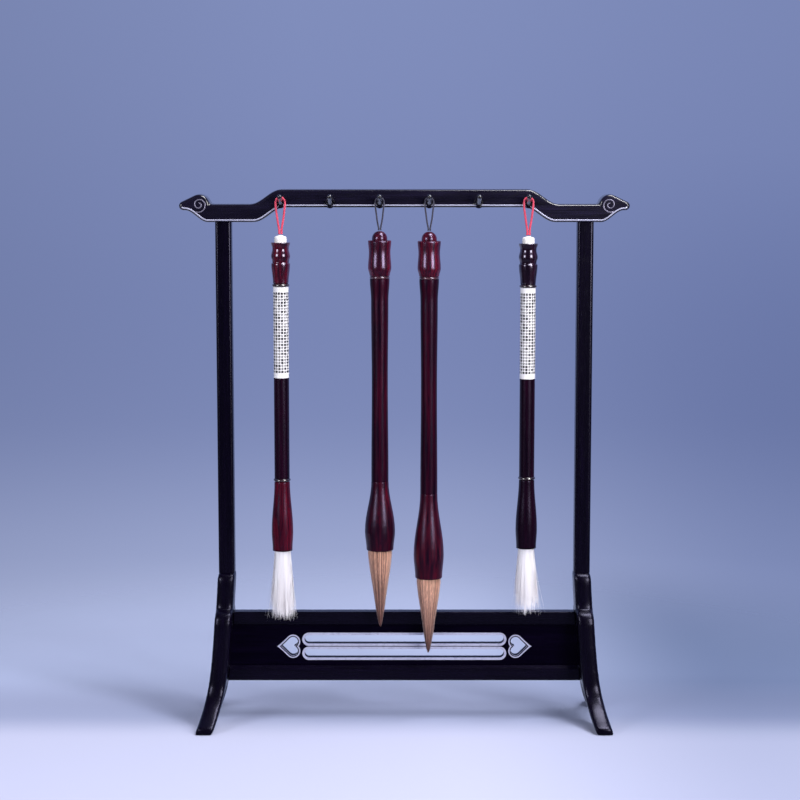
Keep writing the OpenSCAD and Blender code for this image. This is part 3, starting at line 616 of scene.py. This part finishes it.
black_ring = polished_wood("black_ring", (0.006, 0.0016, 0.0060), (0.05, 0.018, 0.026), gloss=0.26, level=1.0,
                           **RING, bump=0.05, sheen=PLAIN)
dark_wood = polished_wood("dark_wood", (0.0026, 0.0004, 0.0034), (0.0150, 0.0012, 0.0090), gloss=0.26, level=0.3,
                          along=24, **TURNED)
for b in BROWN:
    dress(cap_wood, f"brush_{b}_bead", f"brush_{b}_cap")
    dress(ring_wood, f"brush_{b}_neck_ring")
    dress(shaft_wood, f"brush_{b}_shaft")
    dress(bell_wood, f"brush_{b}_ferrule")
dress(red_cap, "brush_1_cap")
dress(red_wood, "brush_1_ferrule")
dress(dark_cap, "brush_4_cap")
dress(dark_wood, "brush_4_ferrule")
for b in PALE:
    dress(black_ring, f"brush_{b}_cap_ring", f"brush_{b}_ferrule_ring")
    dress(dark_wood, f"brush_{b}_shaft")
ease_edges(*[f"brush_{b}_ferrule" for b in PALE], width=0.9)
ease_edges(*[f"brush_{b}_ferrule" for b in BROWN], width=0.6)
ease_edges(*[f"brush_{b}_cap" for b in BRUSH_X], width=0.6)


# Sleeves and beads of the pale brushes: off-white polished sleeves under clear lacquer, printed all round with a
# small lattice of lozenges, blocks and dots, with plain margins at both ends. The beads are of the same pale stuff.
SLEEVE_COLUMNS = 16
SLEEVE_ROW = 2.05
SLEEVE_MARGIN = 2.8
LOZENGE = 0.34
LOZENGE_LINE = (0.11, 0.14)
DOT = (0.10, 0.14)
BLOCK = (0.36, 0.40)
FRAMED_OVER = 0.5
INK = (0.008, 0.007, 0.012)
lattice, given, result = node_group(
    "lozenge_lattice",
    [("Place", "NodeSocketVector", None), ("Middle", "NodeSocketVector", None), ("Bottom", "NodeSocketFloat", 0.0),
     ("Rows", "NodeSocketFloat", 28.0)],
    [("Ink", "NodeSocketFloat")])


def step(kind, *values):
    """One Math node of the lattice."""
    return compute(lattice, kind, *values)


def within(value, limits):
    """A soft mask of the lattice, 1 up to the lower limit and 0 from the higher one."""
    return step("SUBTRACT", 1.0, ranged(lattice, value, *limits))


off = add_node(lattice, "ShaderNodeVectorMath", {0: given.outputs["Place"], 1: given.outputs["Middle"]},
               operation="SUBTRACT")
axes = axes_of(lattice, off.outputs[0])
column = step("MULTIPLY", step("ARCTAN2", axes["Y"], axes["X"]), SLEEVE_COLUMNS / (2 * math.pi))
row = step("DIVIDE", step("SUBTRACT", axes["Z"], given.outputs["Bottom"]), SLEEVE_ROW * MM)
u = step("ABSOLUTE", step("SUBTRACT", step("FRACT", column), 0.5))
v = step("ABSOLUTE", step("SUBTRACT", step("FRACT", row), 0.5))
reach = step("ADD", u, v)
lozenge = within(step("ABSOLUTE", step("SUBTRACT", reach, LOZENGE)), LOZENGE_LINE)
dotted = step("MAXIMUM", lozenge, within(reach, DOT))
block = within(step("MAXIMUM", u, v), BLOCK)
cell = add_node(lattice, "ShaderNodeCombineXYZ", {"X": step("FLOOR", column), "Y": step("FLOOR", row)})
pick = add_node(lattice, "ShaderNodeTexWhiteNoise", {"Vector": cell.outputs[0]}).outputs["Value"]
framed = step("GREATER_THAN", pick, FRAMED_OVER)
marks = step("ADD", step("MULTIPLY", step("SUBTRACT", 1.0, framed), block), step("MULTIPLY", framed, dotted))
inside = step("MULTIPLY", step("GREATER_THAN", row, 0.0), step("LESS_THAN", row, given.outputs["Rows"]))
inked = ranged(lattice, noise(lattice, given.outputs["Place"], 900.0, 2.0), 0.1, 0.42)
lattice.links.new(step("MULTIPLY", step("MULTIPLY", marks, inside), inked), result.inputs["Ink"])


def ivory(name):
    """Polished off-white stuff, faintly clouded: the material, its tree, its shader and its colour."""
    material, tree, shader = finish(name, Roughness=0.3, Coat_Weight=0.3, Coat_Roughness=0.12)
    tint = blend(tree, noise(tree, on_piece(tree), 260.0, 3.0), (0.84, 0.81, 0.82), (0.92, 0.90, 0.91))
    tree.links.new(tint, shader.inputs["Base Color"])
    return material, tree, shader, tint


dress(ivory("ivory_bead")[0], "brush_1_bead", "brush_4_bead")
for b in PALE:
    material, tree, shader, tint = ivory(f"printed_sleeve_{b}")
    low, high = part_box(f"brush_{b}_sleeve")
    rows = math.floor(((high[2] - low[2]) / MM - 2 * SLEEVE_MARGIN) / SLEEVE_ROW)
    pattern = add_node(tree, "ShaderNodeGroup", node_tree=lattice)
    tree.links.new(on_piece(tree), pattern.inputs["Place"])
    pattern.inputs["Middle"].default_value = (BRUSH_X[b] * MM, HANG_Y * MM, 0)
    pattern.inputs["Bottom"].default_value = (low[2] + high[2]) / 2 - rows * SLEEVE_ROW * MM / 2
    pattern.inputs["Rows"].default_value = rows
    tree.links.new(blend(tree, pattern.outputs["Ink"], tint, INK), shader.inputs["Base Color"])
    dress(material, f"brush_{b}_sleeve")


# Heads of hair: soft white goat hair, full and loose, on the pale brushes; springy brown hair drawn to a fine point
# on the brown ones. Every strand is set in the ferrule's mouth, lies with its lock and tapers to its own tip.
RIM_BELOW_BEAD = {1: 1.4, 2: 1.2, 3: 1.2, 4: 1.4}
FERRULE_END = {1: 211.9, 2: 212.9, 3: 232.1, 4: 209.5}
MOUTH_Z = {b: HANG_Z - BEAD_DROP[b] - RIM_BELOW_BEAD[b] - FERRULE_END[b] for b in BRUSH_X}
ROOT = 2.5
CORE_ROOT = 3
CORE_SHARE = 0.7
CORE_WIDTH, CORE_TAPER = 0.94, 0.25
RINGS = 10
STRAND_WIDTH = 0.13
STRAND_TAPER = 0.88
STRAND_RIDGE = 0.25
WISP_CURL = 1.6
WISP_STRANDS = 5
WISP_SPREAD = 14
WISP_LENGTH = (0.86, 0.97)
WISP_REACH = (0.4, 1.1)
GOLDEN_ANGLE = 137.508
JITTER = (-0.05, 0.05)
SAME_TONE = 0.7
LOCK_TONES = (0, 0, 1, 1, 2)
LOCK_BOW = (-0.25, 0.35)
LOCK_UNEVEN = 0.3
STRAND_BOW = (-0.2, 0.2)
TIP_POWER = 0.9
LOOSENESS = 7
SEED = 40


def hair(name, root, tip, streak, depth):
    """Strand colour from root to tip over a head's depth, with fine streaks from strand to strand."""
    material, tree, shader = finish(name, Roughness=0.5, Sheen_Weight=0.5)
    place = on_piece(tree)
    drawn = add_node(tree, "ShaderNodeMapping", {"Vector": place, "Scale": (2600, 2600, 40)})
    tint = blend(tree, ranged(tree, axes_of(tree, place)["Z"], 0.0, -depth * MM), root, tip)
    streaks = ranged(tree, noise(tree, drawn.outputs[0], 1.0, 2.0), 0.35, 0.65, streak, 1.0)
    tree.links.new(blend(tree, 1.0, tint, streaks, blend_type="MULTIPLY"), shader.inputs["Base Color"])
    return material


def turned(profile, segments=48):
    """Vertices and faces of a closed turned form; the profile is (radius, height) from top to bottom."""
    vertices, faces = [], []
    for r, z in profile:
        vertices += [Vector((r * math.cos(a), r * math.sin(a), z)) for a in full_turn(segments)]
    for k in range(len(profile) - 1):
        for j in range(segments):
            a, b = k * segments + j, k * segments + (j + 1) % segments
            faces.append((a, a + segments, b + segments, b))
    faces += [tuple(range(segments)), tuple(range(len(vertices) - 1, len(vertices) - segments - 1, -1))]
    return vertices, faces


def head_of_hair(b, form, tones, length, count, locks, pull, ragged, lean, skew=0, wisps=()):
    """A head of hair. The form gives (share of the length, radius); locks gather by pull; ragged is how unevenly the
    tips end, lean the drift at the tip, skew how much longer the right side is. A wisp is (turn, start, reach)."""
    rng = random.Random(SEED + b)

    def radius_at(t):
        for (t0, r0), (t1, r1) in zip(form, form[1:]):
            if t <= t1:
                return r0 + (r1 - r0) * (t - t0) / (t1 - t0)
        return form[-1][1]

    core = [(radius_at(CORE_SHARE * k / RINGS) * (CORE_WIDTH - CORE_TAPER * (k / RINGS) ** 4),
             -CORE_SHARE * length * k / RINGS) for k in range(RINGS + 1)]
    vertices, faces = turned([(core[0][0], CORE_ROOT), *core])
    vertices = [v + Vector((lean * (max(0, -v.z) / length) ** 2, 0, 0)) for v in vertices]
    toned = [1] * len(faces)

    def add_strand(around, spread, lock, own, tone, bow, start, reach):
        base = len(vertices)
        for k in range(RINGS + 1):
            t = k / RINGS
            z = own * t
            r = radius_at(z / length) * spread + bow * t * t + reach * max(0, (t - start) / (1 - start)) ** WISP_CURL
            a = around + (lock - around) * pull * t
            thick = STRAND_WIDTH * (1 - STRAND_TAPER * t ** 3)
            middle = Vector((r * math.cos(a) + lean * (z / length) ** 2, r * math.sin(a), ROOT - z - ROOT * t))
            out = Vector((math.cos(a), math.sin(a), 0))
            aside = Vector((-math.sin(a), math.cos(a), 0))
            vertices.extend((middle - aside * thick, middle + out * STRAND_RIDGE * thick, middle + aside * thick))
        for k in range(RINGS):
            for j in range(2):
                p = base + 3 * k + j
                faces.append((p, p + 3, p + 4, p + 1))
        toned.extend([tone] * 2 * RINGS)

    sector = 2 * math.pi / locks
    loose = 1 + LOOSENESS * ragged
    lock_tone = [rng.choice(LOCK_TONES) for k in range(locks)]
    lock_bow = [rng.uniform(*LOCK_BOW) for k in range(locks)]
    lock_end = [1 - LOCK_UNEVEN * ragged * rng.random() for k in range(locks)]
    for i in range(count):
        spread = math.sqrt((i + 0.5) / count)
        around = (math.radians(GOLDEN_ANGLE * i) + rng.uniform(*JITTER)) % (2 * math.pi)
        k = int(around / sector) % locks
        longer = 1 + skew * spread * math.cos(around) - abs(skew)
        own = length * lock_end[k] * (1 - ragged * rng.random() ** TIP_POWER) * longer
        tone = lock_tone[k] if rng.random() < SAME_TONE else rng.choice((0, 1, 2))
        bow = loose * (lock_bow[k] + rng.uniform(*STRAND_BOW))
        add_strand(around, spread, (k + 0.5) * sector, own, tone, bow, 0, 0)
    for turn, start, reach in wisps:
        for k in range(WISP_STRANDS):
            around = math.radians(turn + rng.uniform(-WISP_SPREAD, WISP_SPREAD))
            own = length * rng.uniform(*WISP_LENGTH)
            add_strand(around, 1, around, own, 0, 0, start, reach * rng.uniform(*WISP_REACH))
    head = mesh_piece(f"hair_{b}", [v * MM for v in vertices], faces, tones[0])
    for tone in tones[1:]:
        head.data.materials.append(tone)
    head.data.polygons.foreach_set("material_index", toned)
    head.location = Vector((BRUSH_X[b], HANG_Y, MOUTH_Z[b])) * MM
    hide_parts(f"brush_{b}_bristles")
    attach(head, f"brush_{b}")


white_hair = [hair("white_hair_bright", (0.98, 0.95, 0.98), (0.98, 0.95, 0.96), streak=0.97, depth=46),
              hair("white_hair_soft", (0.97, 0.94, 0.97), (0.96, 0.92, 0.93), streak=0.95, depth=46),
              hair("white_hair_shade", (0.94, 0.90, 0.94), (0.90, 0.84, 0.84), streak=0.92, depth=46)]
brown_hair = [hair("brown_hair_tan", (0.98, 0.56, 0.38), (0.26, 0.090, 0.075), streak=0.6, depth=52),
              hair("brown_hair_mid", (0.80, 0.41, 0.265), (0.18, 0.062, 0.050), streak=0.5, depth=52),
              hair("brown_hair_dark", (0.24, 0.100, 0.065), (0.070, 0.024, 0.020), streak=0.5, depth=52)]
FULL = [(0, 5.3), (0.12, 5.7), (0.45, 7.2), (0.8, 8.5), (1, 8.8)]
POINTED = [(0, 8.2), (0.06, 8.6), (0.25, 7.5), (0.5, 5.2), (0.8, 2.7), (1, 0.2)]
LEFT_WISPS = [(180, 0.3, 4.5), (205, 0.45, 3.0), (160, 0.5, 3.0), (235, 0.6, 2.0), (-10, 0.6, 1.8)]
RIGHT_WISPS = [(0, 0.25, 4.0), (-30, 0.5, 2.4), (180, 0.6, 2.2), (215, 0.65, 2.0), (-60, 0.6, 1.6)]
head_of_hair(1, FULL, white_hair, length=51.5, count=2200, locks=60, pull=0.45, ragged=0.25, lean=0.2,
             skew=0.03, wisps=LEFT_WISPS)
head_of_hair(4, FULL, white_hair, length=48, count=2200, locks=60, pull=0.45, ragged=0.37, lean=0.9,
             skew=0.01, wisps=RIGHT_WISPS)
head_of_hair(2, POINTED, brown_hair, length=54.5, count=1700, locks=64, pull=0.4, ragged=0.06, lean=0.2)
head_of_hair(3, POINTED, brown_hair, length=53.5, count=1700, locks=64, pull=0.4, ragged=0.06, lean=-0.2)


# Bounds of the dressed scene, leaving out the backdrop and hidden parts.
low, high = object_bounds()
